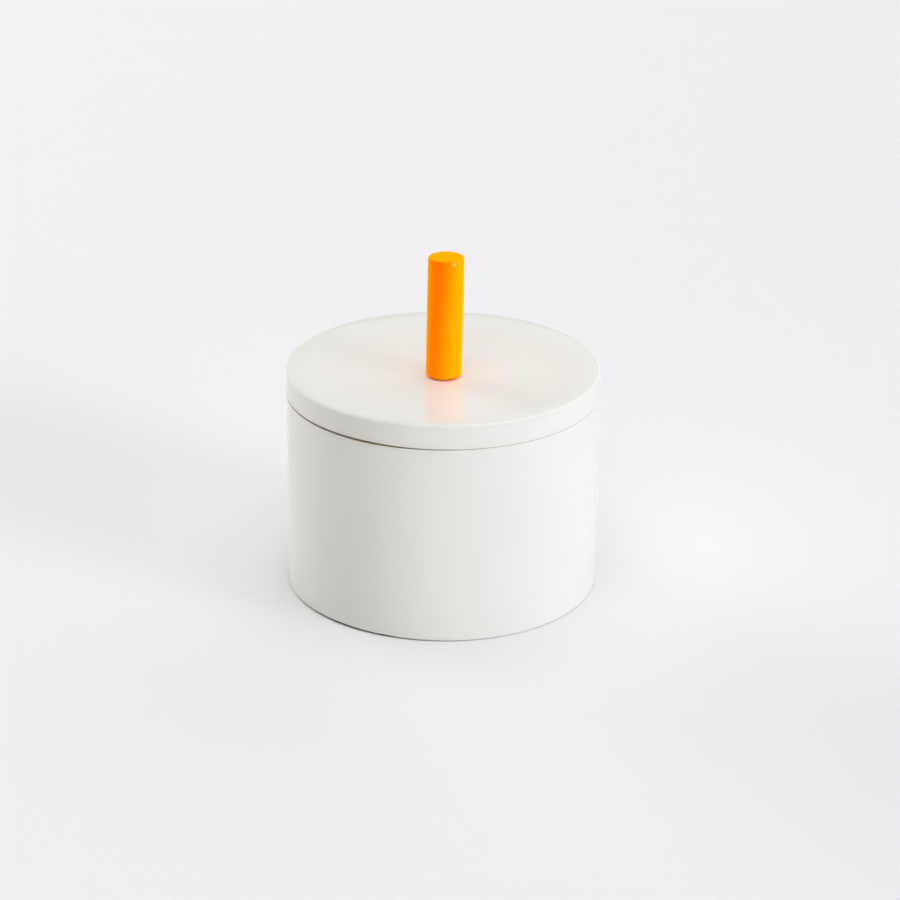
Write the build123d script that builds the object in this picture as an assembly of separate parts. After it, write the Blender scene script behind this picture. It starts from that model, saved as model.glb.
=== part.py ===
from build123d import *

import os

# A round lidded ceramic box with a dowel knob, in millimetres.
# The origin is the centre of the foot on the table, +Z points up,
# and the lid lifts off along +Z.

# Body: a straight cup with a turned foot ring
body_radius = 52.5
body_height = 68.0
wall_thickness = 5.6
floor_thickness = 5.0
foot_ring_width = 6.5
foot_recess_depth = 1.4
foot_edge_radius = 0.7
foot_inner_edge_radius = 0.5
rim_outer_edge_radius = 0.5
rim_inner_edge_radius = 0.9
inside_corner_radius = 4.0

# Lid: a dished plate with a deep edge, and a flange that finds the bore of the body
lid_overhang = 0.0
lid_edge_height = 8.5
lid_top_edge_radius = 1.0
lid_lower_edge_radius = 0.5
dish_depth = 3.6
knob_land_radius = 6.5
plate_thickness = 4.6
flange_depth = 6.0
flange_thickness = 4.2
flange_clearance = 0.6
flange_edge_radius = 1.2
flange_root_radius = 1.6

# Knob: a lacquered length of dowel with a pilot bore in its foot
knob_radius = 6.0
knob_length = 41.3
knob_edge_radius = 0.6
pilot_radius = 1.65
pilot_spare_depth = 2.0

# Washers that the screw clamps: one under the knob, a soft and a hard one under the lid
seat_washer_radius = 4.9
seat_washer_thickness = 0.6
cushion_washer_radius = 7.5
cushion_washer_thickness = 1.2
cushion_washer_edge_radius = 0.35
steel_washer_radius = 6.0
steel_washer_thickness = 0.8
steel_washer_edge_radius = 0.2
washer_clearance = 0.25
lid_hole_clearance = 0.6

# Screw: a pan head wood screw that comes up through the lid into the knob
screw_length = 25.0
shank_radius = 1.9
thread_radius = 2.0
thread_root_radius = 1.35
thread_pitch = 1.8
thread_ridge_width = 1.1
screw_point_length = 3.2
head_radius = 4.0
head_height = 2.4
head_edge_radius = 1.5
cross_slot_length = 4.6
cross_slot_width = 1.1
cross_slot_depth = 1.4

# One overrun serves every cut that has to pass a face
cut_overrun = 1.0

# Heights and radii that follow from the sizes above
bore_radius = body_radius - wall_thickness
foot_inner_radius = body_radius - foot_ring_width
floor_top = foot_recess_depth + floor_thickness
lid_radius = body_radius + lid_overhang
lid_top = body_height + lid_edge_height
land_top = lid_top - dish_depth
plate_underside = land_top - plate_thickness
flange_outer_radius = bore_radius - flange_clearance
flange_inner_radius = flange_outer_radius - flange_thickness
flange_bottom = body_height - flange_depth
lid_hole_radius = shank_radius + lid_hole_clearance
washer_hole_radius = shank_radius + washer_clearance
knob_foot = land_top + seat_washer_thickness
knob_top = knob_foot + knob_length
cushion_washer_bottom = plate_underside - cushion_washer_thickness
steel_washer_bottom = cushion_washer_bottom - steel_washer_thickness
screw_tip = steel_washer_bottom + screw_length


def turned(profile):
    """Return the solid that a closed half profile makes about the Z axis."""
    return revolve(Plane.XZ * profile, Axis.Z)


def rounded(profile, corners):
    """Round corners of a half profile, each given as its place and its radius."""
    for place, radius in corners:
        nearest = profile.vertices().sort_by_distance(place)[0]
        profile = fillet(nearest, radius)
    return profile


def make_body():
    """The cup: straight wall, flat rim for the lid, rounded inside corner and foot ring."""
    outline = Polyline(
        (0, foot_recess_depth),
        (foot_inner_radius, foot_recess_depth),
        (foot_inner_radius, 0),
        (body_radius, 0),
        (body_radius, body_height),
        (bore_radius, body_height),
        (bore_radius, floor_top),
        (0, floor_top),
        close=True,
    )
    corners = [
        ((foot_inner_radius, foot_recess_depth), foot_inner_edge_radius),
        ((foot_inner_radius, 0), foot_inner_edge_radius),
        ((body_radius, 0), foot_edge_radius),
        ((body_radius, body_height), rim_outer_edge_radius),
        ((bore_radius, body_height), rim_inner_edge_radius),
        ((bore_radius, floor_top), inside_corner_radius),
    ]
    return turned(rounded(make_face(outline), corners))


def lid_crest():
    """Return the point where the dish of the lid runs smoothly into its rounded edge.

    The dish is an arc that starts level at the land of the knob and touches the
    circle of the edge. Both centres and that point lie in one line.
    """
    edge_centre = Vector(lid_radius - lid_top_edge_radius, lid_top - lid_top_edge_radius)
    run = edge_centre.X - knob_land_radius
    centre_distance = (run**2 + dish_depth**2) / (2 * dish_depth)
    dish_centre = Vector(knob_land_radius, land_top + centre_distance - lid_top_edge_radius)
    return edge_centre + (dish_centre - edge_centre).normalized() * lid_top_edge_radius


def make_lid():
    """The lid: dished top, rounded edge, flat seat on the rim and locating flange."""
    crest = lid_crest()
    edge_foot = (lid_radius, lid_top - lid_top_edge_radius)
    land = Line((lid_hole_radius, land_top), (knob_land_radius, land_top))
    dish = TangentArc((knob_land_radius, land_top), crest, tangent=(1, 0))
    edge = TangentArc(crest, edge_foot, tangent=dish % 1)
    underside = Polyline(
        edge_foot,
        (lid_radius, body_height),
        (flange_outer_radius, body_height),
        (flange_outer_radius, flange_bottom),
        (flange_inner_radius, flange_bottom),
        (flange_inner_radius, plate_underside),
        (lid_hole_radius, plate_underside),
        (lid_hole_radius, land_top),
    )
    corners = [
        ((lid_radius, body_height), lid_lower_edge_radius),
        ((flange_outer_radius, flange_bottom), flange_edge_radius),
        ((flange_inner_radius, flange_bottom), flange_edge_radius),
        ((flange_inner_radius, plate_underside), flange_root_radius),
    ]
    return turned(rounded(make_face([land, dish, edge, underside]), corners))


def make_knob():
    """The dowel: a round bar with soft ends and a pointed pilot bore for the screw."""
    bore_end = screw_tip + pilot_spare_depth
    outline = Polyline(
        (pilot_radius, knob_foot),
        (knob_radius, knob_foot),
        (knob_radius, knob_top),
        (0, knob_top),
        (0, bore_end),
        (pilot_radius, bore_end - pilot_radius),
        close=True,
    )
    corners = [
        ((knob_radius, knob_foot), knob_edge_radius),
        ((knob_radius, knob_top), knob_edge_radius),
    ]
    return turned(rounded(make_face(outline), corners))


def make_washer(outer_radius, thickness, bottom, edge_radius):
    """A flat washer round the screw, lying between bottom and bottom plus thickness."""
    top = bottom + thickness
    outline = Polyline(
        (washer_hole_radius, bottom),
        (outer_radius, bottom),
        (outer_radius, top),
        (washer_hole_radius, top),
        close=True,
    )
    corners = [
        ((outer_radius, bottom), edge_radius),
        ((outer_radius, top), edge_radius),
    ]
    if edge_radius == 0:
        corners = []
    return turned(rounded(make_face(outline), corners))


def thread_outline(start, end):
    """Return the half profile of the thread, drawn as level ridges one pitch apart."""
    count = int((end - start) / thread_pitch)
    points = []
    for turn in range(count):
        foot = start + turn * thread_pitch
        points.append((thread_root_radius, foot))
        points.append((thread_radius, foot + thread_ridge_width / 2))
        points.append((thread_root_radius, foot + thread_ridge_width))
    return points


def make_screw():
    """The pan head wood screw, with its head down and its point up in the knob."""
    bearing = steel_washer_bottom
    point_foot = screw_tip - screw_point_length
    outline = Polyline(
        (0, bearing - head_height),
        (head_radius, bearing - head_height),
        (head_radius, bearing),
        (shank_radius, bearing),
        (shank_radius, knob_foot),
        *thread_outline(knob_foot, point_foot),
        (thread_root_radius, point_foot),
        (0, screw_tip),
        close=True,
    )
    corners = [((head_radius, bearing - head_height), head_edge_radius)]
    screw = turned(rounded(make_face(outline), corners))
    slot_height = cross_slot_depth + cut_overrun
    slot_middle = bearing - head_height - cut_overrun + slot_height / 2
    for turn in (0, 90):
        slot = Box(cross_slot_length, cross_slot_width, slot_height)
        screw -= Pos(0, 0, slot_middle) * Rot(0, 0, turn) * slot
    return screw


def make_parts():
    """Return every piece of the box, by the name of its node."""
    return {
        "body": make_body(),
        "lid": make_lid(),
        "knob": make_knob(),
        "seat_washer": make_washer(seat_washer_radius, seat_washer_thickness, land_top, 0),
        "cushion_washer": make_washer(
            cushion_washer_radius,
            cushion_washer_thickness,
            cushion_washer_bottom,
            cushion_washer_edge_radius,
        ),
        "steel_washer": make_washer(
            steel_washer_radius,
            steel_washer_thickness,
            steel_washer_bottom,
            steel_washer_edge_radius,
        ),
        "knob_screw": make_screw(),
    }


os.makedirs("parts", exist_ok=True)
for name, piece in make_parts().items():
    export_step(piece, f"parts/{name}.step")
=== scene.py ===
"""Looks of a round, lidded, white glazed ceramic box with an orange dowel knob.

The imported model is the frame, in metres with Z up and the origin under the foot.
Every piece is turned about the upright axis: a half section of radius and height
is worked out as one array and carried round a full circle. Sizes are in metres.
"""

from __future__ import annotations

import logging
import math
from collections.abc import Callable
from dataclasses import dataclass, field
from enum import Enum

import bpy
import numpy as np
from mathutils import Matrix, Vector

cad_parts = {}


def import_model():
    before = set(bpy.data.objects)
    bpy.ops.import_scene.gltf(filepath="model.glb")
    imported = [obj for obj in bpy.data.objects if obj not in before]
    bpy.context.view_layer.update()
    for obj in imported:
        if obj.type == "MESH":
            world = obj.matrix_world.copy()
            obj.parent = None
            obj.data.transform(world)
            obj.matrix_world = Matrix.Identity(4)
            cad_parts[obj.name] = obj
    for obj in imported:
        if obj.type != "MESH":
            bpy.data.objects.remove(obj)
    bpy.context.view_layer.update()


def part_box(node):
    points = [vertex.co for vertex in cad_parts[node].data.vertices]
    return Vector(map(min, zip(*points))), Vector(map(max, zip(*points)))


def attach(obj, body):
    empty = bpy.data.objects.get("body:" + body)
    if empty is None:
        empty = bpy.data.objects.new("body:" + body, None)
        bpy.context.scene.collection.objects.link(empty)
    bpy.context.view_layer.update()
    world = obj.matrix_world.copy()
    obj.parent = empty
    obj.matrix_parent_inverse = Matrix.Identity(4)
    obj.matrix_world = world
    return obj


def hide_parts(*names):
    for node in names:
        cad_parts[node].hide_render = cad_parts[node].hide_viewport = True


log = logging.getLogger("pyxis")

MM = 0.001
FULL_TURN = 2.0 * math.pi
RIGHT_ANGLE = math.pi / 2.0
# Slack for picking points and faces that lie exactly at a place
HAIR = 0.007 * MM

Node = bpy.types.Node
Socket = bpy.types.NodeSocket
Material = bpy.types.Material
Object = bpy.types.Object
Colour = tuple[float, float, float]
Span = tuple[float, float]
Shares = tuple[tuple[float, float], ...]

# The part of a noise's values that a finish uses: most of it, and its middle
MOST: Span = (0.3, 0.7)
MIDDLE: Span = (0.35, 0.65)

# How far a joint stands open, by the turn to the right of the front in degrees
SEAM_OPEN: Shares = (
    (-180.0, 0.05), (-120.0, 0.10), (-90.0, 0.20), (-66.0, 0.60), (-52.0, 0.85), (-41.0, 1.0),
    (-24.0, 1.0), (-16.0, 0.62), (-9.0, 0.50), (0.0, 0.30), (6.0, 0.20), (13.0, 0.10),
    (21.0, 0.05), (37.0, 0.05), (47.0, 0.02), (60.0, 0.0), (180.0, 0.05),
)
FOOT_OPEN: Shares = (
    (-180.0, 0.0), (-90.0, 0.05), (-69.0, 0.30), (-57.0, 0.70), (-48.0, 0.85), (-40.0, 1.0),
    (-32.0, 0.95), (-27.0, 0.80), (-20.0, 0.83), (-14.0, 0.54), (-3.0, 0.38), (8.0, 0.16),
    (19.0, 0.05), (32.0, 0.01), (50.0, 0.0), (180.0, 0.0),
)


class Coat(Enum):
    """What covers a face of the pottery, by the index of its material slot."""

    GLAZE = 0
    BARE_CLAY = 1


# Half sections


@dataclass(frozen=True)
class Corner:
    """A corner of a half section.

    Attributes:
        radius: distance from the upright axis.
        height: height above the table.
        rounding: radius of the rounded corner, or zero for a sharp one.
    """

    radius: float
    height: float
    rounding: float = 0.0


def rounded_corner(before: np.ndarray, corner: Corner, after: np.ndarray, steps: int) -> np.ndarray:
    """Return the points of one corner of a half section.

    The arc touches both straight runs. Its ends lie rounding over the tangent of half
    the corner's angle away from the corner, and its centre lies on the bisector,
    rounding over the sine of half that angle away.

    Args:
        before: the point before the corner, as radius and height.
        corner: the corner itself.
        after: the point after the corner.
        steps: how many pieces the arc is cut into.

    Returns:
        An array of points, one row each.
    """
    place = np.array([corner.radius, corner.height])
    if corner.rounding == 0.0:
        return place[None, :]
    back = (before - place) / np.linalg.norm(before - place)
    ahead = (after - place) / np.linalg.norm(after - place)
    half = math.acos(float(np.clip(back @ ahead, -1.0, 1.0))) / 2.0
    bisector = (back + ahead) / np.linalg.norm(back + ahead)
    centre = place + bisector * corner.rounding / math.sin(half)
    start = place + back * corner.rounding / math.tan(half) - centre
    end = place + ahead * corner.rounding / math.tan(half) - centre
    sweep = math.atan2(start[0] * end[1] - start[1] * end[0], float(start @ end))
    turn = np.linspace(0.0, sweep, steps + 1)
    across = np.array([-start[1], start[0]])
    return centre + np.cos(turn)[:, None] * start + np.sin(turn)[:, None] * across


def half_section(corners: list[Corner], closed: bool = False, steps: int = 10) -> np.ndarray:
    """Return the outline through the corners, each rounded as it says.

    Args:
        corners: the corners in order, with the solid on the left of the way along.
        closed: whether the last corner joins the first, as in a ring.
        steps: how many pieces each arc is cut into.

    Returns:
        An array of radius and height, one row for each point.
    """
    places = np.array([[corner.radius, corner.height] for corner in corners])
    runs = []
    for index, corner in enumerate(corners):
        if not closed and index in (0, len(corners) - 1):
            runs.append(places[index][None, :])
            continue
        after = places[(index + 1) % len(corners)]
        runs.append(rounded_corner(places[index - 1], corner, after, steps))
    return np.concatenate(runs)


def divided(outline: np.ndarray, longest: float, closed: bool = False) -> np.ndarray:
    """Cut the long runs of an outline so that no piece is longer than allowed.

    A point on a run is its start plus an even share of the way to its end.

    Args:
        outline: radius and height, one row for each point.
        longest: the longest piece allowed.
        closed: whether the last point joins the first.

    Returns:
        The outline with the points added.
    """
    pieces = []
    for start, end in zip(outline, np.roll(outline, -1, axis=0)):
        count = max(1, math.ceil(float(np.linalg.norm(end - start)) / longest))
        share = np.linspace(0.0, 1.0, count, endpoint=False)[:, None]
        pieces.append(start + share * (end - start))
    if not closed:
        pieces[-1] = outline[-1][None, :]
    return np.concatenate(pieces)


def nearness(outline: np.ndarray, *places: tuple[float, float, float]) -> np.ndarray:
    """Work out how near the points of an outline lie to some places, such as its edges.

    The value is a bell: e to the power of minus the squared distance over the reach,
    which is one at a place. The nearest place counts.

    Args:
        outline: radius and height, one row for each point.
        places: the radius, the height and the reach of each place.

    Returns:
        One share for each point of the outline.
    """
    share = np.zeros(len(outline))
    for radius, height, reach in places:
        distance = np.hypot(outline[:, 0] - radius, outline[:, 1] - height)
        share = np.maximum(share, np.exp(-((distance / reach) ** 2)))
    return share


# Turned surfaces


@dataclass
class Turned:
    """A surface turned about the upright axis, as whole arrays.

    A point is radius times the cosine and sine of the turn, and its height. A point
    on the axis is one pole shared by the whole fan around it.

    Attributes:
        outline: radius and height, one row for each point.
        segments: how many steps make a full turn.
        closed: whether the outline is a ring.
        vertices: the points of the surface, one row each.
        rows: the row of the outline that each vertex is turned from.
        faces: the faces, each as its vertices in the order that faces outwards.
    """

    outline: np.ndarray
    segments: int
    closed: bool = False
    vertices: np.ndarray = field(init=False)
    rows: np.ndarray = field(init=False)
    faces: list[tuple[int, ...]] = field(init=False)

    def __post_init__(self) -> None:
        """Work out the vertices and the faces."""
        poles = self.outline[:, 0] < HAIR
        sizes = np.where(poles, 1, self.segments)
        starts = np.cumsum(sizes) - sizes
        self.rows = np.repeat(np.arange(len(self.outline)), sizes)
        turn = (np.arange(len(self.rows)) - starts[self.rows]) / self.segments * FULL_TURN
        radius, height = self.outline[self.rows].T
        self.vertices = np.column_stack([radius * np.cos(turn), radius * np.sin(turn), height])
        self.faces = self._faces(poles, starts)

    def _faces(self, poles: np.ndarray, starts: np.ndarray) -> list[tuple[int, ...]]:
        """Join neighbouring rings with squares, and a ring to a pole with triangles.

        Args:
            poles: whether each ring is a single point on the axis.
            starts: the index of the first vertex of each ring.

        Returns:
            The faces, as vertex indices.
        """
        here = np.arange(self.segments)
        ahead = (here + 1) % self.segments
        count = len(self.outline)
        faces: list[tuple[int, ...]] = []
        for lower in range(count if self.closed else count - 1):
            upper = (lower + 1) % count
            low = [starts[lower] + here, starts[lower] + ahead]
            high = [starts[upper] + ahead, starts[upper] + here]
            if poles[lower]:
                low = [np.full_like(here, starts[lower])]
            if poles[upper]:
                high = [np.full_like(here, starts[upper])]
            if not (poles[lower] and poles[upper]):
                faces.extend(map(tuple, np.column_stack(low + high).tolist()))
        return faces


def axis_distance(points: np.ndarray) -> np.ndarray:
    """Return how far each point lies from the upright axis."""
    return np.hypot(points[:, 0], points[:, 1])


def front_turn(points: np.ndarray) -> np.ndarray:
    """Return the turn of each point to the right of the front, in degrees."""
    return np.degrees(np.arctan2(points[:, 0], -points[:, 1]))


def draw_in(points: np.ndarray, short: np.ndarray) -> None:
    """Move points towards the axis: each is scaled by one minus short over its radius."""
    points[:, :2] *= (1.0 - short / np.maximum(axis_distance(points), MM))[:, None]


@dataclass(frozen=True)
class Ripple:
    """A gentle wave in a surface that was finished by hand.

    Attributes:
        depth: how deep it is.
        waves: how many waves go round the circle.
        start: its phase at the right of the box, in radians.
        length: the height over which it goes through one more wave.
    """

    depth: float
    waves: float
    start: float
    length: float


def uneven(points: np.ndarray, ripples: tuple[Ripple, ...]) -> np.ndarray:
    """Work out how far a surface that was finished by hand falls short of a true one.

    A ripple is its depth times one half of one minus the cosine of its phase, so it is
    never below nought. All ripples are added.

    Args:
        points: the points of the true surface.
        ripples: the ripples in it.

    Returns:
        One distance for each point.
    """
    turn = np.arctan2(points[:, 1], points[:, 0])
    short = np.zeros(len(points))
    for ripple in ripples:
        phase = ripple.waves * turn + ripple.start + points[:, 2] / ripple.length * FULL_TURN
        short += ripple.depth * (1.0 - np.cos(phase)) / 2.0
    return short


def mesh_piece(name: str, turned: Turned, *finishes: Material) -> Object:
    """Make a smooth mesh object at the origin.

    Args:
        name: the name of the piece.
        turned: its surface.
        finishes: its materials, in the order of their slots.

    Returns:
        The object, linked to the scene.
    """
    mesh = bpy.data.meshes.new(name)
    mesh.from_pydata(turned.vertices.tolist(), [], turned.faces)
    mesh.polygons.foreach_set("use_smooth", np.ones(len(turned.faces), dtype=bool))
    mesh.update()
    for finish in finishes:
        mesh.materials.append(finish)
    piece = bpy.data.objects.new(name, mesh)
    bpy.context.scene.collection.objects.link(piece)
    return piece


def point_attribute(piece: Object, name: str, values: np.ndarray) -> None:
    """Store one number for each vertex of a piece, for its finish to read."""
    attribute = piece.data.attributes.new(name, "FLOAT", "POINT")
    attribute.data.foreach_set("value", values.astype(np.float32))


# Shader trees


class Tree:
    """A shader tree under construction."""

    # A Mix node has its colours at these inputs and its mixed colour at this output
    MIX_COLOURS = (6, 7)
    MIX_RESULT = 2

    def __init__(self, owner: Material | bpy.types.World, coordinates: str = "Object") -> None:
        """Start with nothing but the place that is shaded.

        Args:
            owner: the material or the world that the tree belongs to.
            coordinates: what that place is measured in.
        """
        owner.use_nodes = True
        self.tree = owner.node_tree
        self.tree.nodes.clear()
        self.place = self.add("TexCoord").outputs[coordinates]

    def feed(self, socket: Socket, value: object) -> None:
        """Join an input to another socket, or set its value.

        Args:
            socket: the input.
            value: a socket, a number, a vector, or a colour without its alpha.
        """
        if isinstance(value, Socket):
            self.tree.links.new(value, socket)
        elif socket.type == "RGBA":
            socket.default_value = (*value, 1.0)
        else:
            socket.default_value = value

    def add(self, kind: str, settings: dict[str, object] | None = None, **inputs: object) -> Node:
        """Add a node.

        Args:
            kind: the node's type, without the words ShaderNode.
            settings: attributes to set on the node.
            inputs: values or sockets for its inputs, with underscores for spaces.

        Returns:
            The new node.
        """
        node = self.tree.nodes.new("ShaderNode" + kind)
        for name, value in (settings or {}).items():
            setattr(node, name, value)
        for name, value in inputs.items():
            self.feed(node.inputs[name.replace("_", " ")], value)
        return node

    def attribute(self, name: str) -> Socket:
        """Return the number that the mesh stores under a name."""
        return self.add("Attribute", {"attribute_name": name}).outputs["Fac"]

    def noise(self, size: float, detail: float = 2.0, where: Socket | None = None) -> Socket:
        """Return noise between nought and one whose lumps are about size apart."""
        vector = self.place if where is None else where
        return self.add("TexNoise", Vector=vector, Scale=1.0 / size, Detail=detail).outputs["Fac"]

    def ramp(self, value: Socket, span: Span, start: float = 0.0, end: float = 1.0) -> Socket:
        """Return a value carried from its span into start to end, and held there."""
        ends = {"From_Min": span[0], "From_Max": span[1], "To_Min": start, "To_Max": end}
        return self.add("MapRange", Value=value, **ends).outputs["Result"]

    def combine(self, operation: str, first: object, second: object) -> Socket:
        """Work out one number from two.

        Args:
            operation: what to do with them.
            first: the first number or socket.
            second: the second number or socket.

        Returns:
            The result.
        """
        node = self.add("Math", {"operation": operation})
        for socket, value in zip(node.inputs, (first, second)):
            self.feed(socket, value)
        return node.outputs[0]

    def blend(self, share: Socket, first: object, second: object) -> Socket:
        """Mix two colours.

        Args:
            share: the share of the second colour.
            first: the first colour or socket.
            second: the second colour or socket.

        Returns:
            The mixed colour.
        """
        node = self.add("Mix", {"data_type": "RGBA"})
        self.feed(node.inputs[0], share)
        for index, colour in zip(self.MIX_COLOURS, (first, second)):
            self.feed(node.inputs[index], colour)
        return node.outputs[self.MIX_RESULT]

    def bump(self, height: Socket, depth: float, below: Socket | None = None) -> Socket:
        """Return a normal that rises by depth where height is one, on top of one below."""
        extra = {} if below is None else {"Normal": below}
        return self.add("Bump", Height=height, Strength=1.0, Distance=depth, **extra).outputs["Normal"]


# Finishes


@dataclass(frozen=True)
class Finish:
    """A finish, whose pattern follows the place in the object.

    Attributes:
        name: the name of the material.
    """

    name: str

    def shader(self, tree: Tree) -> Node:
        """Build the surface in a tree and return its shader."""
        raise NotImplementedError

    def material(self) -> Material:
        """Make the material.

        Returns:
            The new material.
        """
        material = bpy.data.materials.new(self.name)
        tree = Tree(material)
        tree.add("OutputMaterial", Surface=self.shader(tree).outputs[0])
        return material


@dataclass(frozen=True)
class Glaze(Finish):
    """Clear gloss glaze over a warm white clay, poured and fired by hand."""

    name: str = "glaze"
    # Clouds of the usual colour and of the one where the glaze lies a little thicker
    colour: Colour = (0.806, 0.811, 0.765)
    pooled: Colour = (0.792, 0.798, 0.750)
    cloud_size: float = 40.0 * MM
    # The warm colour where it breaks thin over an edge, by the seam partly painted shade, and how ragged
    # that is
    thin: Colour = (0.58, 0.49, 0.33)
    ragged_size: float = 3.0 * MM
    ragged_least: float = 0.35
    # The greyer colour of painted shade on the rolled edge, and the roughness added there
    rim_shade: Colour = (0.62, 0.62, 0.575)
    rolled_gloss: float = 0.15
    # Roughness, which varies in patches, so many across a cloud
    gloss: float = 0.08
    gloss_spread: float = 0.04
    patches: float = 3.0
    refraction: float = 1.52
    # Waves of the surface, and the fine orange peel on them
    wave_size: float = 22.0 * MM
    wave_depth: float = 0.03 * MM
    peel_size: float = 1.6 * MM
    peel_depth: float = 0.0012 * MM
    # Iron specks: the distance between cells, where a speck fades out in its cell, the
    # random numbers over which a cell comes to hold one, and how strongly it shows
    speck_size: float = 9.0 * MM
    speck_edge: Span = (0.012, 0.03)
    speck_luck: Span = (0.86, 0.90)
    speck_show: float = 0.45

    def shader(self, tree: Tree) -> Node:
        """Build the glaze: its colour, patches of gloss, waves and orange peel.

        Args:
            tree: the tree to build in.

        Returns:
            The surface shader.
        """
        patches = tree.noise(self.cloud_size / self.patches)
        gloss = tree.ramp(patches, MOST, self.gloss, self.gloss + self.gloss_spread)
        rolled = tree.combine("MULTIPLY", tree.attribute("rolled_edge"), self.rolled_gloss)
        waves = tree.bump(tree.noise(self.wave_size, detail=1.0), self.wave_depth)
        return tree.add(
            "BsdfPrincipled",
            Base_Color=self._colour(tree),
            Roughness=tree.combine("ADD", gloss, rolled),
            Normal=tree.bump(tree.noise(self.peel_size), self.peel_depth, waves),
            IOR=self.refraction,
        )

    def _colour(self, tree: Tree) -> Socket:
        """Return clouds of colour with ragged thin edges, specks and painted shade on the rolled edges.

        Args:
            tree: the tree to build in.

        Returns:
            The colour.
        """
        clouds = tree.ramp(tree.noise(self.cloud_size, detail=3.0), MIDDLE)
        colour = tree.blend(clouds, self.colour, self.pooled)
        ragged = tree.ramp(tree.noise(self.ragged_size, detail=4.0), MOST, self.ragged_least)
        thin = tree.combine("MULTIPLY", tree.attribute("thin_edge_and_shade"), ragged)
        colour = tree.blend(thin, colour, self.thin)
        colour = tree.blend(self._specks(tree), colour, self.thin)
        return tree.blend(tree.attribute("painted_rim_shade"), colour, self.rim_shade)

    def _specks(self, tree: Tree) -> Socket:
        """Return how strongly a few tiny specks show.

        A cell holds a speck where its own random number is high, and the speck covers
        what lies nearest to the middle of the cell.

        Args:
            tree: the tree to build in.

        Returns:
            A share, which is nought away from the specks.
        """
        cells = tree.add("TexVoronoi", Vector=tree.place, Scale=1.0 / self.speck_size)
        near = tree.ramp(cells.outputs["Distance"], self.speck_edge, 1.0, 0.0)
        luck = tree.add("SeparateColor", Color=cells.outputs["Color"]).outputs["Red"]
        return tree.combine("MULTIPLY", near, tree.ramp(luck, self.speck_luck, 0.0, self.speck_show))


@dataclass(frozen=True)
class BareClay(Finish):
    """Unglazed fired clay, on the foot ring and on the seats of lid and rim."""

    name: str = "bare_clay"
    colour: Colour = (0.50, 0.43, 0.30)
    dark: Colour = (0.38, 0.31, 0.20)
    mottle_size: float = 6.0 * MM
    # Painted shade in the open foot, under the edge of the wall
    foot_shade: Colour = (0.095, 0.075, 0.042)
    grain_size: float = 0.5 * MM
    grain_depth: float = 0.02 * MM
    dryness: float = 0.85

    def shader(self, tree: Tree) -> Node:
        """Build the clay: a mottled dry colour, painted shade in the open foot and a sandy grain.

        Args:
            tree: the tree to build in.

        Returns:
            The surface shader.
        """
        mottle = tree.ramp(tree.noise(self.mottle_size, detail=5.0), MIDDLE)
        dry = tree.blend(mottle, self.colour, self.dark)
        return tree.add(
            "BsdfPrincipled",
            Base_Color=tree.blend(tree.attribute("painted_foot_shade"), dry, self.foot_shade),
            Roughness=self.dryness,
            Normal=tree.bump(tree.noise(self.grain_size, detail=3.0), self.grain_depth),
        )


@dataclass(frozen=True)
class Lacquer(Finish):
    """Fluorescent orange lacquer on a dowel, satin, with the grain faintly showing.

    The dye turns blue light into orange, so the lacquer sends out a little more red
    than falls on it. A faint painted glow, the same under any lamp, stands for that.
    """

    name: str = "orange_lacquer"
    # The lacquer's colour and the deeper colour of painted shade on it, then the colour and span of a
    # painted glint
    colour: Colour = (1.0, 0.37, 0.0)
    shaded_colour: Colour = (0.90, 0.08, 0.0)
    glint_colour: Colour = (0.98, 0.93, 0.85)
    glint_span: Span = (0.4, 1.0)
    # A painted glow: the knob sends out light of its own, though it is no lamp
    painted_glow: Colour = (1.0, 0.22, 0.0)
    painted_glow_strength: float = 0.44
    # A matt body with a low index of refraction, under a little clear film
    gloss: float = 0.28
    gloss_spread: float = 0.08
    refraction: float = 1.05
    film_weight: float = 0.03
    film_gloss: float = 0.06
    film_size: float = 2.5 * MM
    # The yellower colour that it takes when seen edge on
    edge_tint: Colour = (1.0, 0.72, 0.0)
    edge_weight: float = 0.6
    edge_spread: float = 0.35
    # The veins of the wood, long up the dowel, and how much deeper the coat looks there
    grain_width: float = 0.9 * MM
    grain_length: float = 30.0 * MM
    grain_depth: float = 0.010 * MM
    grain_darkening: float = 0.08

    def shader(self, tree: Tree) -> Node:
        """Build the lacquer: long grain along the dowel under a satin film.

        Args:
            tree: the tree to build in.

        Returns:
            The surface shader.
        """
        stretch = (1.0, 1.0, self.grain_width / self.grain_length)
        along = tree.add("Mapping", Vector=tree.place, Scale=stretch).outputs["Vector"]
        grain = tree.noise(self.grain_width, detail=3.0, where=along)
        film = tree.noise(self.film_size)
        veins = tree.ramp(grain, MIDDLE, 0.0, self.grain_darkening)
        # Painted shade, a deeper orange on the shaded side and the cut ends, plus the veins of the grain
        deepening = tree.combine("ADD", tree.attribute("painted_lacquer_shade"), veins)
        # A painted glint: a pale spot on the upper edge, which also glows
        painted_glint = tree.ramp(tree.attribute("painted_glint"), self.glint_span)
        shaded_lacquer = tree.blend(deepening, self.colour, self.shaded_colour)
        return tree.add(
            "BsdfPrincipled",
            Base_Color=tree.blend(painted_glint, shaded_lacquer, self.glint_colour),
            Roughness=tree.ramp(film, MOST, self.gloss, self.gloss + self.gloss_spread),
            Normal=tree.bump(film, self.grain_depth / 2.0, tree.bump(grain, self.grain_depth)),
            IOR=self.refraction,
            Specular_IOR_Level=0.0,
            Coat_Weight=self.film_weight,
            Coat_Roughness=self.film_gloss,
            Sheen_Weight=self.edge_weight,
            Sheen_Roughness=self.edge_spread,
            Sheen_Tint=self.edge_tint,
            # Painted glow, paler at the painted glint
            Emission_Color=tree.blend(painted_glint, self.painted_glow, self.glint_colour),
            Emission_Strength=self.painted_glow_strength,
        )


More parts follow.
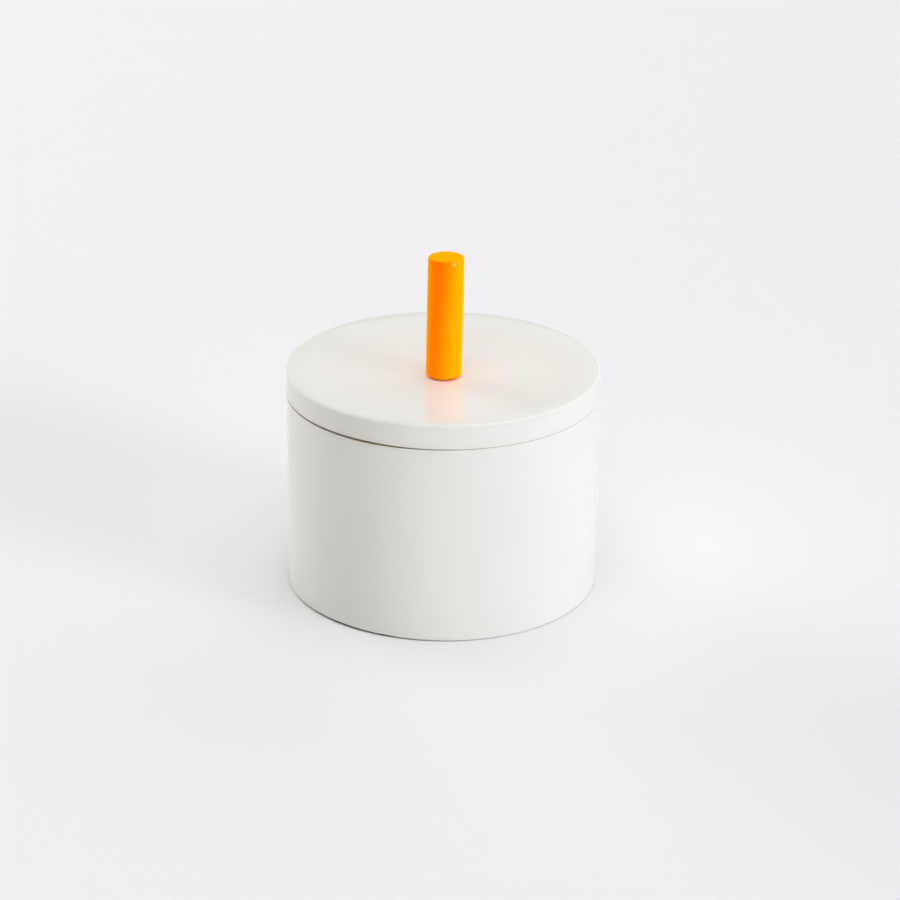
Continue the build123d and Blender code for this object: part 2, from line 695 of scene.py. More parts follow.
@dataclass(frozen=True)
class Leather(Finish):
    """Brown leather with a pebbled grain."""

    name: str = "brown_leather"
    # The colours between and on the pebbles, and where in a pebble they change
    colour: Colour = (0.62, 0.23, 0.03)
    dark: Colour = (0.45, 0.15, 0.02)
    pebble: float = 0.5 * MM
    pebble_edge: Span = (0.2, 0.8)
    pebble_depth: float = 0.05 * MM
    gloss: float = 0.6

    def shader(self, tree: Tree) -> Node:
        """Build the leather from small rounded cells and return its shader."""
        cells = tree.add("TexVoronoi", Vector=tree.place, Scale=1.0 / self.pebble).outputs["Distance"]
        return tree.add(
            "BsdfPrincipled",
            Base_Color=tree.blend(tree.ramp(cells, self.pebble_edge), self.colour, self.dark),
            Roughness=self.gloss,
            Normal=tree.bump(cells, -self.pebble_depth),
        )


@dataclass(frozen=True)
class Rubber(Finish):
    """Matt black rubber with a fine moulded grain."""

    name: str = "black_rubber"
    colour: Colour = (0.030, 0.029, 0.028)
    dusty: Colour = (0.060, 0.058, 0.055)
    dust_size: float = 4.0 * MM
    dust_span: Span = (0.4, 0.75)
    grain_size: float = 0.3 * MM
    grain_depth: float = 0.01 * MM
    gloss: float = 0.8

    def shader(self, tree: Tree) -> Node:
        """Build the rubber with dusty patches and a fine grain, and return its shader."""
        dust = tree.ramp(tree.noise(self.dust_size, detail=4.0), self.dust_span)
        return tree.add(
            "BsdfPrincipled",
            Base_Color=tree.blend(dust, self.colour, self.dusty),
            Roughness=self.gloss,
            Normal=tree.bump(tree.noise(self.grain_size), self.grain_depth),
        )


@dataclass(frozen=True)
class PlatedSteel(Finish):
    """Zinc plated steel with dull blotches and faint turning marks."""

    name: str = "plated_steel"
    colour: Colour = (0.60, 0.60, 0.59)
    dull: Colour = (0.46, 0.46, 0.44)
    blotch_size: float = 2.0 * MM
    blotch_span: Span = (0.35, 0.7)
    # Roughness of bright and of dull plating
    gloss: Span = (0.28, 0.42)
    # The scale of the wave texture that makes the marks, and how much they waver
    mark_scale: float = 700.0
    mark_waver: float = 2.0
    mark_depth: float = 0.004 * MM

    def shader(self, tree: Tree) -> Node:
        """Build the plating: dull blotches and turning marks about the axis.

        Args:
            tree: the tree to build in.

        Returns:
            The surface shader.
        """
        blotch = tree.ramp(tree.noise(self.blotch_size, detail=4.0), self.blotch_span)
        rings = {"wave_type": "RINGS", "rings_direction": "Z"}
        waves = {"Vector": tree.place, "Scale": self.mark_scale, "Distortion": self.mark_waver}
        marks = tree.add("TexWave", rings, **waves)
        return tree.add(
            "BsdfPrincipled",
            Base_Color=tree.blend(blotch, self.colour, self.dull),
            Metallic=1.0,
            Roughness=tree.ramp(blotch, (0.0, 1.0), *self.gloss),
            Normal=tree.bump(marks.outputs["Fac"], self.mark_depth),
        )


@dataclass(frozen=True)
class StudioPaper(Finish):
    """Seamless pale paper, plain and matt."""

    name: str = "studio_paper"
    colour: Colour = (0.835, 0.837, 0.845)
    roughness: float = 0.5

    def shader(self, tree: Tree) -> Node:
        """Return plain matt paper, the same all over."""
        return tree.add("BsdfDiffuse", Color=self.colour, Roughness=self.roughness)


# Pottery


def open_share(points: np.ndarray, listed: Shares) -> np.ndarray:
    """Work out how far a joint stands open at each point's place round the box.

    The pots are a little warped, so the seam and the foot are open at the front left
    and close on the other side. Between the turns that are listed the share runs
    along a straight line.

    Args:
        points: the vertices.
        listed: turns in degrees, each with the share there.

    Returns:
        One share for each vertex, from nought to one.
    """
    turns, shares = np.array(listed).T
    return np.interp(front_turn(points), turns, shares)


def shut_joint(points: np.ndarray, picked: np.ndarray, away: np.ndarray, reach: float, travel: float,
               listed: Shares) -> None:
    """Move the edge of a pot across a joint, where the joint is shut.

    A point rises by travel, times the share that is shut at its turn, times its
    closeness, which is one at the edge and falls evenly to nought over the reach.

    Args:
        points: the vertices, which are changed.
        picked: which of them may move.
        away: how far each one lies from the edge.
        reach: how far from the edge the last moved point lies.
        travel: how far the edge rises where the joint is shut.
        listed: how far the joint stands open, by the turn.
    """
    closeness = np.clip(1.0 - away / reach, 0.0, 1.0)
    points[:, 2] += picked * closeness * (1.0 - open_share(points, listed)) * travel


def coat_faces(piece: Object, is_bare: Callable[[np.ndarray], np.ndarray]) -> None:
    """Give each face of a pot its glaze or its bare clay.

    Args:
        piece: the pot, whose materials are in the order of Coat.
        is_bare: says for an array of face centres which ones are bare.
    """
    centres = np.zeros(len(piece.data.polygons) * 3)
    piece.data.polygons.foreach_get("center", centres)
    bare = is_bare(centres.reshape(-1, 3))
    index = np.where(bare, Coat.BARE_CLAY.value, Coat.GLAZE.value).astype(np.int32)
    piece.data.polygons.foreach_set("material_index", index)
    piece.data.update()


@dataclass
class Cup:
    """The body of the box: a straight glazed cup on a bare turned foot ring.

    The lower edge of the wall stands over the table by foot_gap where the foot is open
    and by foot_least where it is shut. The upper edge lies under the flat of the rim by
    rim_drop where the seam is open and by rim_least where it is shut.
    """

    outer_radius: float
    height: float
    wall: float = 5.6 * MM
    floor: float = 5.0 * MM
    foot_ring: float = 6.5 * MM
    foot_recess: float = 1.4 * MM
    foot_edge: float = 0.55 * MM
    foot_gap: float = 0.70 * MM
    foot_least: float = 0.03 * MM
    foot_set_back: float = 0.85 * MM
    foot_inner_edge: float = 0.5 * MM
    rim_outer_edge: float = 0.06 * MM
    rim_drop: float = 0.28 * MM
    rim_least: float = 0.01 * MM
    rim_set_back: float = 1.6 * MM
    rim_inner_edge: float = 0.9 * MM
    inside_corner: float = 4.0 * MM
    # Height over which a moved edge runs back into the wall, and over which each end of
    # the wall has no ripples
    give: float = 3.0 * MM
    true_ends: float = 2.0 * MM
    # How far the glaze lies thin beside the seam, and how strongly that shows, which is partly painted
    # shade
    thin_reach: float = 0.22 * MM
    edge_show: float = 0.4
    # How far in from the wall, down from the rim and past the step's corners clay is bare
    bare_foot: float = 0.5 * MM
    bare_rim: float = 0.12 * MM
    bare_step: float = 0.1 * MM
    ripples: tuple[Ripple, ...] = (
        Ripple(0.10 * MM, waves=2.0, start=0.7, length=0.21),
        Ripple(0.05 * MM, waves=3.0, start=2.1, length=-0.17),
        Ripple(0.03 * MM, waves=7.0, start=0.3, length=0.09),
    )
    longest: float = 1.5 * MM
    segments: int = 256

    def outline(self) -> np.ndarray:
        """Go from the middle of the foot round the wall to the middle of the floor.

        Returns:
            The half section, as radius and height.
        """
        bore = self.outer_radius - self.wall
        ring = self.outer_radius - self.foot_ring
        standing = self.outer_radius - self.foot_set_back
        step = self.outer_radius - self.rim_set_back
        floor_top = self.foot_recess + self.floor
        corners = [
            Corner(0.0, self.foot_recess),
            Corner(ring, self.foot_recess, self.foot_inner_edge),
            Corner(ring, 0.0, self.foot_inner_edge),
            Corner(standing, 0.0),
            Corner(standing, self.foot_gap),
            Corner(self.outer_radius, self.foot_gap, self.foot_edge),
            Corner(self.outer_radius, self.height - self.rim_drop, self.rim_outer_edge),
            Corner(step, self.height - self.rim_drop),
            Corner(step, self.height),
            Corner(bore, self.height, self.rim_inner_edge),
            Corner(bore, floor_top, self.inside_corner),
            Corner(0.0, floor_top),
        ]
        return divided(half_section(corners), self.longest)

    def build(self, glaze: Material, clay: Material) -> Object:
        """Make the cup, with a wall that is a little uneven as a hand-finished one is.

        Args:
            glaze: the material of the glazed faces.
            clay: the material of the bare faces.

        Returns:
            The finished piece.
        """
        outline = self.outline()
        turned = Turned(outline, self.segments)
        points = turned.vertices
        radius = axis_distance(points)
        self._warp(points, radius)
        piece = mesh_piece("body_glazed", turned, glaze, clay)
        rim_edge = (self.outer_radius, self.height - self.rim_drop, self.thin_reach)
        inner_edge = (self.outer_radius - self.wall, self.height, self.rim_inner_edge)
        # Thin glaze by the seam, scaled by how far the seam stands open, so it also paints shade into the
        # seam at the front left
        thin = nearness(outline, rim_edge, inner_edge)[turned.rows] * open_share(points, SEAM_OPEN)
        point_attribute(piece, "thin_edge_and_shade", thin * self.edge_show)
        # Painted shade: the clay under the edge of the wall is darkened as far as the foot stands open
        under_edge = radius > self.outer_radius - self.foot_set_back - HAIR
        under_edge &= points[:, 2] < self.foot_gap + HAIR
        point_attribute(piece, "painted_foot_shade", under_edge * open_share(points, FOOT_OPEN))
        coat_faces(piece, self._is_bare)
        return piece

    def _warp(self, points: np.ndarray, radius: np.ndarray) -> None:
        """Ripple the wall, then bring both its edges to where the joints are shut.

        Args:
            points: the vertices, which are changed.
            radius: their true distances from the axis.
        """
        height = points[:, 2]
        clear = (height > self.true_ends) & (height < self.height - self.true_ends)
        outside = radius > self.outer_radius - self.foot_ring / 2.0
        draw_in(points, uneven(points, self.ripples) * (outside & clear))
        foot = (height > self.foot_gap / 2.0) & (radius > self.outer_radius - self.foot_set_back - HAIR)
        away = height - self.foot_gap - self.foot_edge
        shut_joint(points, foot, away, self.give, self.foot_least - self.foot_gap, FOOT_OPEN)
        rim = radius > self.outer_radius - self.rim_set_back - HAIR
        rim &= height < self.height - self.rim_drop / 2.0
        away = self.height - self.rim_drop - self.rim_outer_edge - height
        shut_joint(points, rim, away, self.give, self.rim_drop - self.rim_least, SEAM_OPEN)

    def _is_bare(self, centres: np.ndarray) -> np.ndarray:
        """Say which faces are bare: the foot ring up to its edge, the rim and its step.

        Args:
            centres: the middles of the faces.

        Returns:
            Whether each face is bare.
        """
        radius, height = axis_distance(centres), centres[:, 2]
        foot = (radius < self.outer_radius - self.bare_foot) & (height < self.foot_gap + HAIR)
        rim = height > self.height - self.bare_rim
        step = (radius < self.outer_radius - self.bare_step) & (height > self.height - self.rim_drop - HAIR)
        step &= radius > self.outer_radius - self.rim_set_back - self.bare_step
        return foot | rim | step


@dataclass
class Lid:
    """The lid: a dished glazed plate with a deep edge and a flange underneath.

    Its lower edge lies over the seat by seam_gap where the seam is open and by
    seam_least where it is shut.
    """

    outer_radius: float
    bottom: float
    top: float
    seat: float
    bore_radius: float
    hole_radius: float = 2.5 * MM
    top_edge: float = 1.0 * MM
    lower_edge: float = 0.05 * MM
    seam_gap: float = 0.45 * MM
    seam_least: float = 0.02 * MM
    seam_depth: float = 1.6 * MM
    dish: float = 3.6 * MM
    land_radius: float = 6.5 * MM
    plate: float = 4.6 * MM
    flange: float = 4.2 * MM
    flange_clearance: float = 0.6 * MM
    flange_edge: float = 1.2 * MM
    flange_root: float = 1.6 * MM
    # How far the face of the glaze leans to the axis and how far it has rolled outwards at
    # the crest, in radians, and how late it rolls round the edge, where one is evenly
    level_slope: float = 0.04
    roll_width: float = 8.0 * MM
    roll_slope: float = 0.22
    edge_bend: float = 1.4
    # Height over which the moved edge runs back into the side, and how far from the seat
    # and from the land the ripples come in
    give: float = 2.0 * MM
    true_side: float = 1.0 * MM
    true_land: float = 5.0 * MM
    # How far the glaze lies thin beside the seam, and how strongly that shows, which is partly painted
    # shade
    thin_reach: float = 0.2 * MM
    edge_show: float = 0.4
    # How far it lies rolled round the upper edge, and how much shade is painted there at the right
    rolled_reach: float = 1.4 * MM
    rim_shade_share: float = 0.2
    ripples: tuple[Ripple, ...] = (
        Ripple(0.06 * MM, waves=3.0, start=1.9, length=0.3),
        Ripple(0.04 * MM, waves=5.0, start=0.4, length=0.2),
        Ripple(0.02 * MM, waves=11.0, start=2.2, length=0.1),
    )
    longest: float = 1.5 * MM
    edge_steps: int = 17
    dish_steps: int = 47
    segments: int = 256

    def edge_centre(self) -> np.ndarray:
        """Return the centre of the rounded upper edge, as radius and height."""
        return np.array([self.outer_radius - self.top_edge, self.top - self.top_edge])

    def crest(self) -> tuple[np.ndarray, float]:
        """Find where the dish runs into the rounded edge.

        The dish is an arc that starts level at the land and touches the circle of the
        edge. Its centre lies above the land, so its radius follows from the run and
        the depth: the run squared plus the depth squared, over twice the depth, is
        the distance between both centres.

        Returns:
            The crest as radius and height, and the radius of the dish.
        """
        centre = self.edge_centre()
        run = centre[0] - self.land_radius
        dish_radius = (run**2 + self.dish**2) / (2.0 * self.dish) - self.top_edge
        dish_centre = np.array([self.land_radius, self.top - self.dish + dish_radius])
        towards = (dish_centre - centre) / np.linalg.norm(dish_centre - centre)
        return centre + towards * self.top_edge, dish_radius

    def outline(self) -> np.ndarray:
        """Go from the hole round the flange, the seat, the edge and the dish.

        The dish rises from the land by its radius, minus the root of its radius squared
        less the square of the way out from the land.

        Returns:
            The closed half section, as radius and height.
        """
        land_top = self.top - self.dish
        underside = land_top - self.plate
        flange_outer = self.bore_radius - self.flange_clearance
        flange_inner = flange_outer - self.flange
        seam_end = self.outer_radius - self.seam_depth
        centre = self.edge_centre()
        crest, dish_radius = self.crest()
        corners = [
            Corner(self.hole_radius, land_top),
            Corner(self.hole_radius, underside),
            Corner(flange_inner, underside, self.flange_root),
            Corner(flange_inner, self.bottom, self.flange_edge),
            Corner(flange_outer, self.bottom, self.flange_edge),
            Corner(flange_outer, self.seat),
            Corner(seam_end, self.seat),
            Corner(seam_end, self.seat + self.seam_gap),
            Corner(self.outer_radius, self.seat + self.seam_gap, self.lower_edge),
            Corner(self.outer_radius, centre[1]),
        ]
        spoke = crest - centre
        turn = np.linspace(0.0, math.atan2(spoke[1], spoke[0]), self.edge_steps + 1)[1:]
        edge = centre + self.top_edge * np.column_stack([np.cos(turn), np.sin(turn)])
        radius = np.linspace(crest[0], self.land_radius, self.dish_steps + 1)[1:]
        rise = dish_radius - np.sqrt(dish_radius**2 - (radius - self.land_radius) ** 2)
        dish = np.column_stack([radius, land_top + rise])
        return divided(np.concatenate([half_section(corners), edge, dish]), self.longest, closed=True)

    def build(self, glaze: Material, clay: Material) -> Object:
        """Make the lid, with a faintly uneven top and edge.

        Args:
            glaze: the material of the glazed faces.
            clay: the material of the bare faces.

        Returns:
            The finished piece.
        """
        outline = self.outline()
        turned = Turned(outline, self.segments, closed=True)
        points = turned.vertices
        radius = axis_distance(points)
        self._warp(points, radius)
        piece = mesh_piece("lid_glazed", turned, glaze, clay)
        normals = self._glaze_normals(outline, turned)
        piece.data.normals_split_custom_set_from_vertices(normals.tolist())
        lower_edge = (self.outer_radius, self.seat + self.seam_gap, self.thin_reach)
        # Thin glaze by the seam, scaled by how far the seam stands open, so it also paints shade into the
        # seam at the front left
        thin = nearness(outline, lower_edge)[turned.rows] * open_share(points, SEAM_OPEN)
        point_attribute(piece, "thin_edge_and_shade", thin * self.edge_show)
        middle = self.edge_centre() + self.top_edge * math.sqrt(0.5)
        rolled = nearness(outline, (*middle, self.rolled_reach))[turned.rows]
        point_attribute(piece, "rolled_edge", rolled)
        # Painted shade on the rolled edge, growing towards the right, where the lamps light it most
        to_right = (1.0 + points[:, 0] / radius) / 2.0
        point_attribute(piece, "painted_rim_shade", rolled * self.rim_shade_share * to_right)
        coat_faces(piece, self._is_bare)
        return piece

    def _warp(self, points: np.ndarray, radius: np.ndarray) -> None:
        """Ripple the side and the top, then bring the lower edge to where the seam is shut.

        Args:
            points: the vertices, which are changed.
            radius: their true distances from the axis.
        """
        height = points[:, 2]
        short = uneven(points, self.ripples)
        rise = np.clip((height - self.seat - self.true_side) / MM, 0.0, 1.0)
        draw_in(points, short * rise * (radius > self.bore_radius))
        fade = np.clip((radius - self.land_radius) / self.true_land, 0.0, 1.0)
        height -= short * fade * (height > self.seat + 2.0 * self.true_side)
        seam = radius > self.outer_radius - self.seam_depth - HAIR
        seam &= height > self.seat + self.seam_gap / 2.0
        away = height - self.seat - self.seam_gap - self.lower_edge
        shut_joint(points, seam, away, self.give, self.seam_least - self.seam_gap, SEAM_OPEN)

    def _glaze_normals(self, outline: np.ndarray, turned: Turned) -> np.ndarray:
        """Work out which way the face of the glaze looks on top of the lid.

        Melted glaze runs to a level face in the dish, so it leans to the axis by only
        level_slope at the crest, in proportion to the radius. Over the last roll_width
        it rolls down outwards, by roll_slope times the square of the way across. Round
        the edge its lean grows from there to a right angle, with the share of the turn
        to the power of edge_bend.

        Args:
            outline: radius and height of the half section, one row for each point.
            turned: the surface turned from it.

        Returns:
            One direction for each vertex, or nought where the mesh's own normal holds.
        """
        crest, _ = self.crest()
        radius, height = outline.T
        on_dish = (radius < crest[0] + HAIR) & (height > self.top - self.dish - HAIR)
        across = np.clip((radius - crest[0] + self.roll_width) / self.roll_width, 0.0, 1.0)
        lean = self.roll_slope * across**2 - self.level_slope * radius / crest[0]
        on_edge = (radius > crest[0]) & (crest[1] - height < self.top_edge + HAIR)
        out = np.clip((radius - self.edge_centre()[0]) / self.top_edge, 0.0, 1.0)
        share = (np.arcsin(out) / RIGHT_ANGLE) ** self.edge_bend
        start = self.roll_slope - self.level_slope
        lean = np.where(on_edge, start + (RIGHT_ANGLE - start) * share, lean)[turned.rows]
        turn = np.arctan2(turned.vertices[:, 1], turned.vertices[:, 0])
        outward = np.sin(lean)
        normals = np.column_stack([outward * np.cos(turn), outward * np.sin(turn), np.cos(lean)])
        return np.where((on_dish | on_edge)[turned.rows][:, None], normals, 0.0)

    def _is_bare(self, centres: np.ndarray) -> np.ndarray:
        """Say which faces are bare: the seat, the outside of the flange and its lip.

        Args:
            centres: the middles of the faces.

        Returns:
            Whether each face is bare.
        """
        radius, height = axis_distance(centres), centres[:, 2]
        seat = (radius > self.bore_radius - 2.0 * self.flange_clearance) & (height < self.seat + HAIR)
        seat &= radius < self.outer_radius - self.seam_depth - HAIR
        flange_inner = self.bore_radius - self.flange_clearance - self.flange
        lip = (radius > flange_inner + self.flange_edge / 2.0) & (height < self.seat - MM)
        return seat | lip


# Knob and its fixing


@dataclass
class Dowel:
    """The knob: an upright dowel under lacquer, with soft cut ends.

    It stands a little off the axis and leans to the right, by lean for each metre up.
    It is cut shorter than its CAD node, so that the leaning dowel stays inside its box.
    """

    radius: float
    foot: float
    top: float
    edge: float = 0.6 * MM
    cut_short: float = 0.2 * MM
    bore_radius: float = 1.65 * MM
    bore_depth: float = 20.0 * MM
    off_centre: float = 0.1 * MM
    lean: float = 0.0135
    # The turns at which shade is painted most strongly, how far round it reaches, how strong it
    # is there at the foot and at the top, and how strong on the cut ends
    shade_foot_deg: float = -40.0
    shade_top_deg: float = -24.0
    shade_reach_deg: float = 48.0
    shade_shares: Span = (0.62, 0.92)
    shade_on_ends: float = 0.21
    # A painted glint: a pale spot just below the top, where a highlight falls
    glint_turn_deg: float = 33.0
    glint_reach_deg: float = 7.0
    glint_drop: float = 0.66 * MM
    glint_reach: float = 0.2 * MM
    ripples: tuple[Ripple, ...] = (
        Ripple(0.03 * MM, waves=2.0, start=0.4, length=0.05),
        Ripple(0.015 * MM, waves=5.0, start=1.1, length=0.02),
    )
    longest: float = 1.0 * MM
    segments: int = 128

    def outline(self) -> np.ndarray:
        """Go from the end of the bore down, round the foot and up to the top.

        Returns:
            The half section, as radius and height.
        """
        top = self.top - self.cut_short
        bore_end = self.foot + self.bore_depth
        corners = [
            Corner(0.0, bore_end + self.bore_radius),
            Corner(self.bore_radius, bore_end),
            Corner(self.bore_radius, self.foot),
            Corner(self.radius, self.foot, self.edge),
            Corner(self.radius, top, self.edge),
            Corner(0.0, top),
        ]
        return divided(half_section(corners), self.longest)

    def build(self, lacquer: Material) -> Object:
        """Make the dowel, which leans a little to the right as it is screwed on.

        Args:
            lacquer: its material.

        Returns:
            The finished piece.
        """
        outline = self.outline()
        turned = Turned(outline, self.segments)
        points = turned.vertices
        outside = axis_distance(points) > self.radius / 2.0
        draw_in(points, uneven(points, self.ripples) * outside)
        # Painted shade on the lacquer, deeper orange on the shaded side
        deepening = self._lacquer_shade(points)
        points[:, 0] += self.off_centre + self.lean * (points[:, 2] - self.foot)
        piece = mesh_piece("knob_lacquered", turned, lacquer)
        point_attribute(piece, "painted_lacquer_shade", deepening)
        # A painted glint on the upper edge, right of the front
        spot = (self.radius, self.top - self.cut_short - self.glint_drop, self.glint_reach)
        turn = (front_turn(points) - self.glint_turn_deg) / self.glint_reach_deg
        point_attribute(piece, "painted_glint", nearness(outline, spot)[turned.rows] * np.exp(-(turn**2)))
        return piece

    def _lacquer_shade(self, points: np.ndarray) -> np.ndarray:
        """Work out where shade is painted into the lacquer as a deeper orange.

        It is strongest along one line on the shaded side, which winds a little up the side, and falls
        off as a bell with the turn away from it. It weakens downwards, and lies even on the cut
        ends, which it darkens.

        Args:
            points: the vertices.

        Returns:
            One share for each vertex.
        """
        rise = np.clip((points[:, 2] - self.foot) / (self.top - self.foot), 0.0, 1.0)
        middle = self.shade_foot_deg + (self.shade_top_deg - self.shade_foot_deg) * rise
        away = (front_turn(points) - middle + 180.0) % 360.0 - 180.0
        low, high = self.shade_shares
        side = np.exp(-((away / self.shade_reach_deg) ** 2)) * (low + (high - low) * rise)
        return np.where(axis_distance(points) > self.radius - self.edge, side, self.shade_on_ends)


@dataclass
class Washer:
    """A flat ring with slightly rounded outer edges."""

    name: str
    radius: float
    hole_radius: float
    bottom: float
    top: float
    edge: float
    longest: float = 0.8 * MM
    segments: int = 96

    def build(self, material: Material) -> Object:
        """Make the washer.

        Args:
            material: its material.

        Returns:
            The finished piece.
        """
        corners = [
            Corner(self.hole_radius, self.bottom),
            Corner(self.radius, self.bottom, self.edge),
            Corner(self.radius, self.top, self.edge),
            Corner(self.hole_radius, self.top),
        ]
        outline = divided(half_section(corners, closed=True, steps=6), self.longest, closed=True)
        return mesh_piece(self.name, Turned(outline, self.segments, closed=True), material)


# Studio


@dataclass(frozen=True)
class Camera:
    """The camera of the photograph, fitted to the outlines of lid, seam and foot.

    Attributes:
        frame_px: width of the square picture, in pixels.
        focal_px: focal length, in the same pixels.
        sensor_mm: width of the sensor.
        distance: how far in front of the axis of the box it stands.
        height: its height above the table.
        pitch: how far it looks down, in radians.
        yaw: how far it is turned to the left, in radians.
        roll: how far it is tilted, in radians.
        sight: how far it sees.
    """

    frame_px: float = 900.0
    focal_px: float = 2857.0
    sensor_mm: float = 36.0
    distance: float = 0.8870
    height: float = 0.4219
    pitch: float = 0.4010
    yaw: float = -0.0028
    roll: float = 0.0093
    sight: float = 50.0

    def build(self) -> None:
        """Put the camera in the scene."""
        data = bpy.data.cameras.new("camera")
        data.sensor_width = self.sensor_mm
        data.lens = self.focal_px / self.frame_px * self.sensor_mm
        data.clip_end = self.sight
        camera = bpy.data.objects.new("camera", data)
        turn = Matrix.Rotation(self.yaw, 4, "Z") @ Matrix.Rotation(RIGHT_ANGLE - self.pitch, 4, "X")
        place = Matrix.Translation((0.0, -self.distance, self.height))
        camera.matrix_world = place @ turn @ Matrix.Rotation(self.roll, 4, "Z")
        bpy.context.scene.collection.objects.link(camera)
        bpy.context.scene.camera = camera


@dataclass(frozen=True)
class SoftLight:
    """A soft light far away, which the box sees as a bright disc, such as a window.

    It lights the surfaces and isn't mirrored in them: gloss mirrors the surroundings.

    Attributes:
        name: the name of the lamp.
        azimuth_deg: how far to the right of the front it stands.
        elevation_deg: how high it stands.
        spread_deg: how wide it looks.
        strength: its light on a surface that faces it, for red, green and blue.
        distance: how far away its sign hangs in the scene, which doesn't matter.
    """

    name: str
    azimuth_deg: float
    elevation_deg: float
    spread_deg: float
    strength: Colour
    distance: float = 4.0

    def build(self) -> None:
        """Hang the lamp, so that it shines at the box from its place."""
        lamp = bpy.data.lights.new(self.name, "SUN")
        lamp.energy = max(self.strength)
        lamp.color = tuple(share / lamp.energy for share in self.strength)
        lamp.angle = math.radians(self.spread_deg)
        placed = bpy.data.objects.new(self.name, lamp)
        turn = Matrix.Rotation(math.radians(self.azimuth_deg), 4, "Z")
        tilt = Matrix.Rotation(math.radians(90.0 - self.elevation_deg), 4, "X")
        placed.matrix_world = turn @ tilt @ Matrix.Translation((0.0, 0.0, self.distance))
        placed.visible_glossy = False
        bpy.context.scene.collection.objects.link(placed)


@dataclass(frozen=True)
class Studio:
    """A pale floor, windows low at the right, soft light all round, white surroundings."""

    floor_radius: float = 9.0
    floor_middle: float = 1.0
    floor_segments: int = 96
    lights: tuple[SoftLight, ...] = (
        SoftLight("near_window", 60.0, 8.0, 25.0, (1.19, 1.19, 1.32)),
        SoftLight("near_window_curtain", 50.0, 8.0, 35.0, (0.37, 0.38, 0.48)),
        SoftLight("right_wall", 90.0, 30.0, 60.0, (0.48, 0.50, 0.51)),
        SoftLight("back_right_wall", 150.0, 20.0, 60.0, (1.11, 1.10, 1.13)),
        SoftLight("ceiling", 0.0, 90.0, 60.0, (1.09, 1.09, 1.10)),
        SoftLight("front_ceiling", 0.0, 60.0, 60.0, (0.80, 0.79, 0.76)),
        SoftLight("front_wall", 0.0, 30.0, 60.0, (0.23, 0.21, 0.16)),
        SoftLight("front_left_ceiling", 330.0, 50.0, 60.0, (0.20, 0.19, 0.21)),
        SoftLight("back_left_ceiling", 240.0, 60.0, 60.0, (0.21, 0.22, 0.24)),
        SoftLight("far_window", 225.0, 8.0, 25.0, (1.20, 1.17, 1.18)),
        SoftLight("far_side_window", 240.0, 8.0, 25.0, (0.53, 0.49, 0.47)),
    )
    # The backdrop as the camera sees it, and the surroundings as gloss mirrors them: they
    # change from low to high where a direction points up by as much as horizon says
    seen_colour: Colour = (0.868, 0.872, 0.885)
    mirrored_colour: Colour = (1.0, 1.0, 1.0)
    mirrored_low: float = 0.88
    mirrored_high: float = 0.72
    horizon: Span = (0.05, 0.30)

    def build(self, paper: Material) -> None:
        """Lay the floor, hang the lamps and put up the surroundings.

        Args:
            paper: the material of the floor.
        """
        outline = np.array([[self.floor_radius, 0.0], [self.floor_middle, 0.0], [0.0, 0.0]])
        mesh_piece("floor", Turned(outline, self.floor_segments), paper)
        for light in self.lights:
            light.build()
        self._surroundings()

    def _surroundings(self) -> None:
        """Put a white backdrop all round, which only the camera and mirrors see."""
        world = bpy.data.worlds.new("surroundings")
        bpy.context.scene.world = world
        tree = Tree(world, "Generated")
        rays = tree.add("LightPath").outputs
        upward = tree.add("SeparateXYZ", Vector=tree.place).outputs["Z"]
        brightness = tree.ramp(upward, self.horizon, self.mirrored_low, self.mirrored_high)
        reflected = tree.combine("MAXIMUM", rays["Is Glossy Ray"], rays["Is Transmission Ray"])
        brightness = tree.combine("MULTIPLY", reflected, brightness)
        mirrored = tree.add("Background", Color=self.mirrored_colour, Strength=brightness)
        seen = tree.add("Background", Color=self.seen_colour, Strength=1.0)
        backdrop = tree.add("MixShader", Fac=rays["Is Camera Ray"])
        for socket, background in zip(list(backdrop.inputs)[1:], (mirrored, seen)):
            tree.feed(socket, background.outputs[0])
        tree.add("OutputWorld", Surface=backdrop.outputs[0])


# The whole box


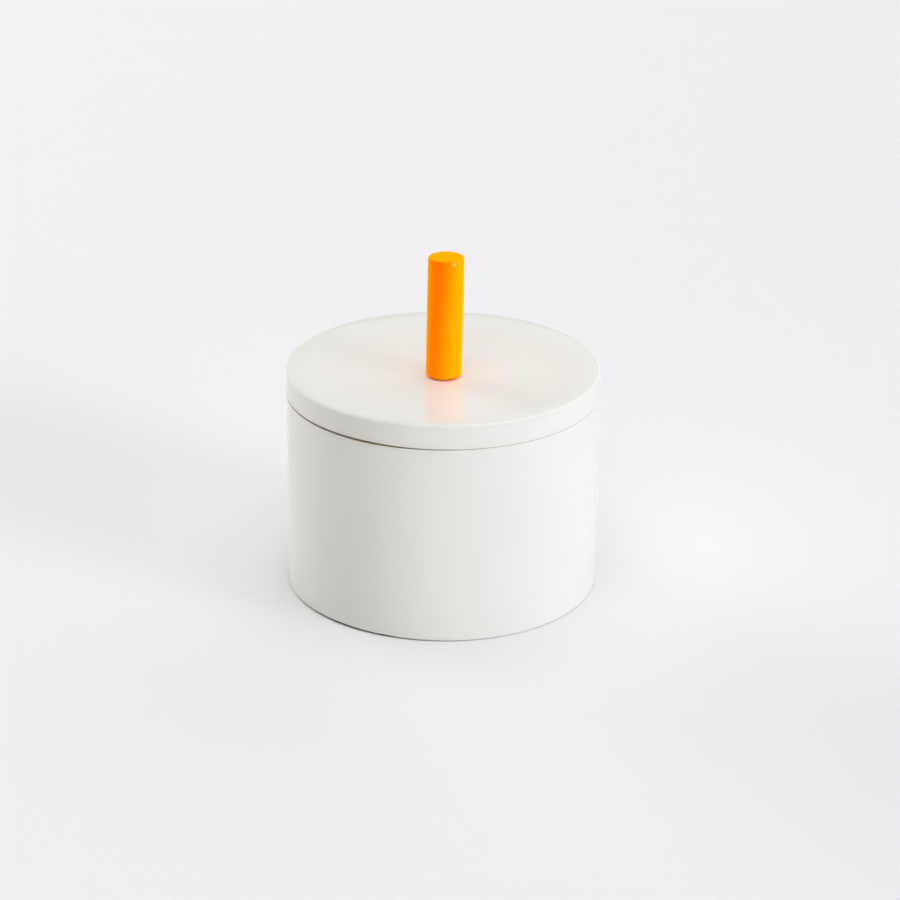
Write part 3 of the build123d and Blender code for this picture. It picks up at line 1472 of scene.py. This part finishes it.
@dataclass
class Pyxis:
    """The whole box, built from the sizes of the CAD nodes."""

    screw_hole: float = 2.15 * MM
    leather_edge: float = 0.12 * MM
    rubber_edge: float = 0.35 * MM
    steel_edge: float = 0.2 * MM

    def build(self) -> None:
        """Build the pots, then the knob, then its fixing."""
        self._pottery()
        self._knob()
        self._fixing()

    def _place(self, piece: Object, body: str, node: str) -> None:
        """Fix a finished piece to its body, hide the CAD node that it stands for and log its size.

        Args:
            piece: the finished piece.
            body: the CAD body that it rides on.
            node: the CAD node that it stands for.
        """
        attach(piece, body)
        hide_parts(node)
        triangles = sum(len(face.vertices) - 2 for face in piece.data.polygons)
        log.info("%s: %d triangles on body %s", piece.name, triangles, body)

    def _washer(self, name: str, node: str, material: Material, edge: float) -> None:
        """Build a washer in the place of its CAD node.

        Args:
            name: the name of the piece.
            node: the CAD node.
            material: its material.
            edge: rounding of its outer edges.
        """
        low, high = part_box(node)
        washer = Washer(name, high.x, self.screw_hole, low.z, high.z, edge)
        self._place(washer.build(material), "lid", node)

    def _pottery(self) -> None:
        """Build cup and lid."""
        _, body_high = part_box("body")
        lid_low, lid_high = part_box("lid")
        clay = BareClay().material()
        cup = Cup(outer_radius=body_high.x, height=body_high.z)
        self._place(cup.build(Glaze("body_glaze").material(), clay), "box", "body")
        lid = Lid(
            outer_radius=lid_high.x,
            bottom=lid_low.z,
            top=lid_high.z,
            seat=body_high.z,
            bore_radius=body_high.x - cup.wall,
        )
        self._place(lid.build(Glaze("lid_glaze").material(), clay), "lid", "lid")

    def _knob(self) -> None:
        """Build the dowel and the leather disc that it stands on."""
        low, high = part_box("knob")
        dowel = Dowel(radius=high.x, foot=low.z, top=high.z)
        self._place(dowel.build(Lacquer().material()), "lid", "knob")
        leather = Leather().material()
        self._washer("seat_washer_leather", "seat_washer", leather, self.leather_edge)

    def _fixing(self) -> None:
        """Build the washers under the lid and plate the screw."""
        rubber = Rubber().material()
        self._washer("cushion_washer_rubber", "cushion_washer", rubber, self.rubber_edge)
        steel = PlatedSteel().material()
        self._washer("steel_washer_plated", "steel_washer", steel, self.steel_edge)
        screw = bpy.data.objects["knob_screw"]
        screw.data.materials.clear()
        screw.data.materials.append(steel)
        log.info("%s: solid of the frame, plated", screw.name)


def main() -> None:
    """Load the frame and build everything."""
    logging.basicConfig(level=logging.INFO, format="%(message)s")
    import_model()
    bpy.context.scene.view_settings.view_transform = "Standard"
    Camera().build()
    Studio().build(StudioPaper().material())
    Pyxis().build()


if __name__ == "__main__":
    main()
